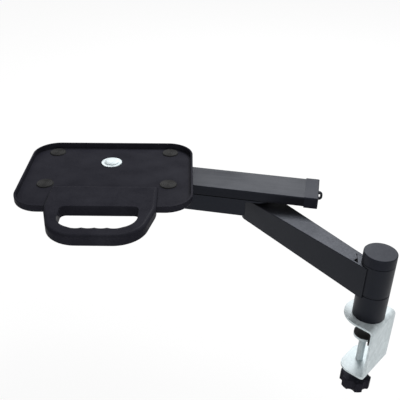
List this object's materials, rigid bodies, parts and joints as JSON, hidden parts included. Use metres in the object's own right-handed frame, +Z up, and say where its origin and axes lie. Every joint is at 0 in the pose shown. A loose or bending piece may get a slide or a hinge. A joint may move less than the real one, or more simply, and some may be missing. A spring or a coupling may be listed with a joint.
{
  "type": "phone holder arm",
  "caption": "Desk-clamped swing arm for a desk telephone: post, tapered lower arm, upper arm with sliding rail, and a swivelling tray with a pull handle.",
  "frame": {"origin": "on the post axis, at the underside of the desk pad, which is the desk top", "axes": "+Z up along the post, +Y across the desk and away from the user, +X to the user's right"},
  "size_m": [0.5306, 0.336, 0.2453],
  "materials": {
    "zinc_steel": "zinc-plated steel, satin",
    "black_paint": "black satin powder coat",
    "black_plastic": "moulded black plastic, fine grain",
    "bearing_plastic": "moulded bearing plastic, dark grey",
    "black_rubber": "black rubber"
  },
  "bodies": {
    "base": {"clamp_bracket": "zinc_steel", "desk_pad": "black_rubber", "weld_nut": "zinc_steel", "post_spindle": "zinc_steel", "fixing_screw": "zinc_steel", "post_collar": "black_paint", "thrust_washer": "bearing_plastic", "retaining_washer": "zinc_steel", "spindle_nut": "zinc_steel", "top_cap": "black_plastic"},
    "pressure_foot": {"pressure_foot": "zinc_steel", "foot_pad": "black_rubber"},
    "clamp_screw": {"clamp_screw": "zinc_steel", "star_knob": "black_plastic"},
    "lower_arm": {"arm_sleeve": "black_paint", "lower_bush": "bearing_plastic", "upper_bush": "bearing_plastic", "lower_arm_shell": "black_paint", "arm_screws": "zinc_steel", "elbow_bush": "bearing_plastic"},
    "upper_arm": {"beam_channel": "black_paint", "slide_guide": "bearing_plastic", "guide_screws": "zinc_steel", "elbow_pin": "zinc_steel", "elbow_washer": "bearing_plastic", "elbow_nut_washer": "zinc_steel", "elbow_nut": "zinc_steel"},
    "rail": {"slide_rail": "black_paint", "rail_end_cap": "black_plastic", "rail_nose_plug": "black_plastic", "swivel_disc": "black_plastic", "swivel_washer": "zinc_steel", "swivel_bolt": "zinc_steel", "swivel_nut": "zinc_steel"},
    "tray": {"phone_tray": "black_plastic", "pull_handle": "black_plastic", "handle_screws": "zinc_steel", "grip_pads": "black_rubber"}
  },
  "joints": [
    {"name": "post_swivel", "type": "hinge", "parent": "base", "child": "lower_arm", "pos_m": [0, 0, 0], "axis": [0, 0, 1], "continuous": true},
    {"name": "elbow_swivel", "type": "hinge", "parent": "lower_arm", "child": "upper_arm", "pos_m": [-0.13285, 0.18377, 0.0852], "axis": [0, 0, 1], "range_deg": [-112, 38]},
    {"name": "rail_slide", "type": "slide", "parent": "upper_arm", "child": "rail", "axis": [-0.974, 0.2267, 0], "range_m": [-0.075, 0.036]},
    {"name": "tray_swivel", "type": "hinge", "parent": "rail", "child": "tray", "pos_m": [-0.36076, 0.2368, 0.1138], "axis": [0, 0, 1], "continuous": true},
    {"name": "clamp_travel", "type": "slide", "parent": "base", "child": "pressure_foot", "axis": [0, 0, 1], "range_m": [-0.038, 0.013]},
    {"name": "clamp_turn", "type": "hinge", "parent": "pressure_foot", "child": "clamp_screw", "pos_m": [0, 0, -0.1], "axis": [0, 0, 1], "range_deg": [-6840, 2340]}
  ],
  "couplings": [
    {"joint": "clamp_travel", "follows": "clamp_turn", "m_per_rad": 0.00031831}
  ]
}
